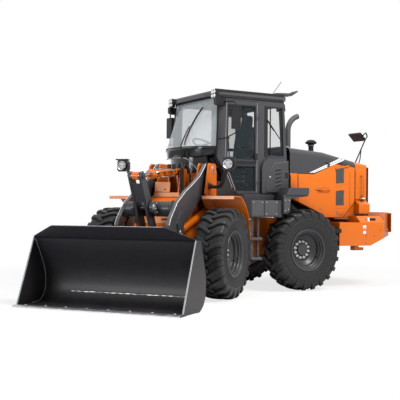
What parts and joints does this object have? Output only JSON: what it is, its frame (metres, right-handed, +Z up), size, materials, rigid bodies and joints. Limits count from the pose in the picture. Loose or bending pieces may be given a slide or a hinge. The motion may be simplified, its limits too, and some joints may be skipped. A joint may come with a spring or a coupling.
{
  "type": "articulated wheel loader",
  "caption": "Articulated wheel loader with an enclosed cab, a lift arm linkage and a bucket resting on the ground, turned left at its pivot.",
  "frame": {"origin": "on the ground under the middle of the whole machine's box, with the machine turned left as it is parked", "axes": "+X forward along the rear frame, +Y to its left, +Z up"},
  "size_m": [6.8062, 4.1201, 3.3451],
  "materials": {
    "orange_paint": "gloss machine enamel",
    "dark_paint": "satin dark grey enamel",
    "bucket_paint": "satin black, worn at the edge",
    "engine_paint": "matt",
    "steel": "brushed",
    "chrome": "polished",
    "black_plastic": "matt black",
    "seat_cloth": "woven",
    "glass": "clear, slightly tinted",
    "tyre": "moulded rubber"
  },
  "bodies": {
    "root": {"rear_frame": "orange_paint", "rear_axle": "dark_paint", "counterweight": "orange_paint", "engine_block": "engine_paint", "hood_cowl": "dark_paint", "hood_tail": "orange_paint", "exhaust_pipe": "steel", "precleaner": "black_plastic", "cab_frame": "dark_paint", "cab_roof": "dark_paint", "cab_glass": "glass", "seat": "seat_cloth", "steering_console": "black_plastic", "side_covers": "dark_paint", "steps_and_deck": "dark_paint", "rear_fenders": "dark_paint", "hood_sides": "orange_paint", "mirrors": "black_plastic", "work_lamps": "black_plastic", "roof_fittings": "dark_paint", "tail_lamps": "orange_paint", "grab_handles": "steel", "windscreen": "glass", "front_cowl": "dark_paint", "rear_mirror": "black_plastic"},
    "front_frame": {"front_frame": "orange_paint", "front_axle": "dark_paint", "front_fenders": "orange_paint", "headlamps": "black_plastic"},
    "lift_arms": {"lift_arms": "dark_paint"},
    "bell_crank": {"bell_crank": "dark_paint"},
    "bucket_link": {"bucket_link": "dark_paint"},
    "bucket": {"bucket": "bucket_paint"},
    "lift_barrels": {"lift_barrels": "orange_paint"},
    "lift_rods": {"lift_rods": "chrome"},
    "tilt_barrel": {"tilt_barrel": "orange_paint"},
    "tilt_rod": {"tilt_rod": "chrome"},
    "steer_left_barrel": {"steer_left_barrel": "dark_paint"},
    "steer_left_rod": {"steer_left_rod": "chrome"},
    "steer_right_barrel": {"steer_right_barrel": "dark_paint"},
    "steer_right_rod": {"steer_right_rod": "chrome"},
    "cab_door": {"cab_door": "dark_paint", "door_glass": "glass"},
    "hood_door_left": {"hood_door_left": "orange_paint"},
    "hood_door_right": {"hood_door_right": "orange_paint"},
    "grille_door": {"grille_door": "dark_paint"},
    "wheel_front_left": {"tyre_front_left": "tyre", "rim_front_left": "dark_paint"},
    "wheel_front_right": {"tyre_front_right": "tyre", "rim_front_right": "dark_paint"},
    "wheel_rear_left": {"tyre_rear_left": "tyre", "rim_rear_left": "dark_paint"},
    "wheel_rear_right": {"tyre_rear_right": "tyre", "rim_rear_right": "dark_paint"}
  },
  "joints": [
    {"name": "articulation", "type": "hinge", "parent": "root", "child": "front_frame", "pos_m": [-0.03309, -0.95382, 0.8], "axis": [0, 0, 1], "range_deg": [-76.84, 3.16]},
    {"name": "boom_lift", "type": "hinge", "parent": "front_frame", "child": "lift_arms", "pos_m": [0.59115, -0.48614, 1.85], "axis": [0.5996, -0.8003, 0], "range_deg": [0, 84]},
    {"name": "bucket_tilt", "type": "hinge", "parent": "lift_arms", "child": "bucket", "pos_m": [1.93568, 0.52115, 0.28], "axis": [-0.5996, 0.8003, 0], "range_deg": [-44, 116]},
    {"name": "bell_crank_turn", "type": "hinge", "parent": "lift_arms", "child": "bell_crank", "pos_m": [1.62356, 0.28732, 1.28], "axis": [0.5996, -0.8003, 0], "range_deg": [-8, 20]},
    {"name": "bucket_link_turn", "type": "hinge", "parent": "bucket", "child": "bucket_link", "pos_m": [2.00771, 0.57512, 0.5], "axis": [0.5996, -0.8003, 0], "range_deg": [-40, 105]},
    {"name": "tilt_barrel_turn", "type": "hinge", "parent": "front_frame", "child": "tilt_barrel", "pos_m": [0.77523, -0.34824, 1.81], "axis": [0.5996, -0.8003, 0], "range_deg": [0, 95]},
    {"name": "tilt_rod_slide", "type": "slide", "parent": "tilt_barrel", "child": "tilt_rod", "axis": [0.7974, 0.5974, -0.0856], "range_m": [0, 0.21]},
    {"name": "lift_barrel_turn", "type": "hinge", "parent": "front_frame", "child": "lift_barrels", "pos_m": [0.60716, -0.47415, 1.25], "axis": [0.5996, -0.8003, 0], "range_deg": [0, 75]},
    {"name": "lift_rod_slide", "type": "slide", "parent": "lift_barrels", "child": "lift_rods", "axis": [0.7622, 0.5711, -0.3048], "range_m": [0, 0.86]},
    {"name": "steer_left_turn", "type": "hinge", "parent": "root", "child": "steer_left_barrel", "pos_m": [-0.65309, -0.51382, 0.83], "axis": [0, 0, 1], "range_deg": [-11, 1]},
    {"name": "steer_left_slide", "type": "slide", "parent": "steer_left_barrel", "child": "steer_left_rod", "axis": [0.9912, -0.1321, 0], "range_m": [-0.02, 0.45]},
    {"name": "steer_right_turn", "type": "hinge", "parent": "root", "child": "steer_right_barrel", "pos_m": [-0.65309, -1.39382, 0.83], "axis": [0, 0, 1], "range_deg": [-15, 1]},
    {"name": "steer_right_slide", "type": "slide", "parent": "steer_right_barrel", "child": "steer_right_rod", "axis": [0.9487, 0.3161, 0], "range_m": [-0.43, 0.02]},
    {"name": "cab_door_swing", "type": "hinge", "parent": "root", "child": "cab_door", "pos_m": [-0.59609, -0.24082, 2.2], "axis": [0, 0, 1], "range_deg": [0, 100]},
    {"name": "hood_door_left_lift", "type": "hinge", "parent": "root", "child": "hood_door_left", "pos_m": [-1.83309, -0.26482, 2.045], "axis": [1, 0, 0], "range_deg": [0, 75]},
    {"name": "hood_door_right_lift", "type": "hinge", "parent": "root", "child": "hood_door_right", "pos_m": [-1.83309, -1.64282, 2.045], "axis": [-1, 0, 0], "range_deg": [0, 75]},
    {"name": "grille_door_swing", "type": "hinge", "parent": "root", "child": "grille_door", "pos_m": [-2.95409, -0.47782, 1.6], "axis": [0, 0, -1], "range_deg": [0, 100]},
    {"name": "front_left_roll", "type": "hinge", "parent": "front_frame", "child": "wheel_front_left", "pos_m": [0.49018, 0.51591, 0.64], "axis": [-0.5996, 0.8003, 0], "continuous": true},
    {"name": "front_right_roll", "type": "hinge", "parent": "front_frame", "child": "wheel_front_right", "pos_m": [1.52446, -0.86463, 0.64], "axis": [-0.5996, 0.8003, 0], "continuous": true},
    {"name": "rear_left_roll", "type": "hinge", "parent": "root", "child": "wheel_rear_left", "pos_m": [-1.33309, -0.09132, 0.64], "axis": [0, 1, 0], "continuous": true},
    {"name": "rear_right_roll", "type": "hinge", "parent": "root", "child": "wheel_rear_right", "pos_m": [-1.33309, -1.81632, 0.64], "axis": [0, 1, 0], "continuous": true}
  ],
  "couplings": [
    {"joint": "bell_crank_turn", "follows": "bucket_tilt", "ratio": 0.14},
    {"joint": "bucket_link_turn", "follows": "bucket_tilt", "ratio": 0.88},
    {"joint": "tilt_barrel_turn", "follows": "boom_lift", "ratio": 1.116},
    {"joint": "tilt_rod_slide", "follows": "boom_lift", "m_per_rad": 0.136},
    {"joint": "lift_barrel_turn", "follows": "boom_lift", "ratio": 0.88},
    {"joint": "lift_rod_slide", "follows": "boom_lift", "m_per_rad": 0.56},
    {"joint": "steer_left_turn", "follows": "articulation", "ratio": 0.13},
    {"joint": "steer_left_slide", "follows": "articulation", "m_per_rad": -0.33},
    {"joint": "steer_right_turn", "follows": "articulation", "ratio": 0.18},
    {"joint": "steer_right_slide", "follows": "articulation", "m_per_rad": 0.31}
  ]
}
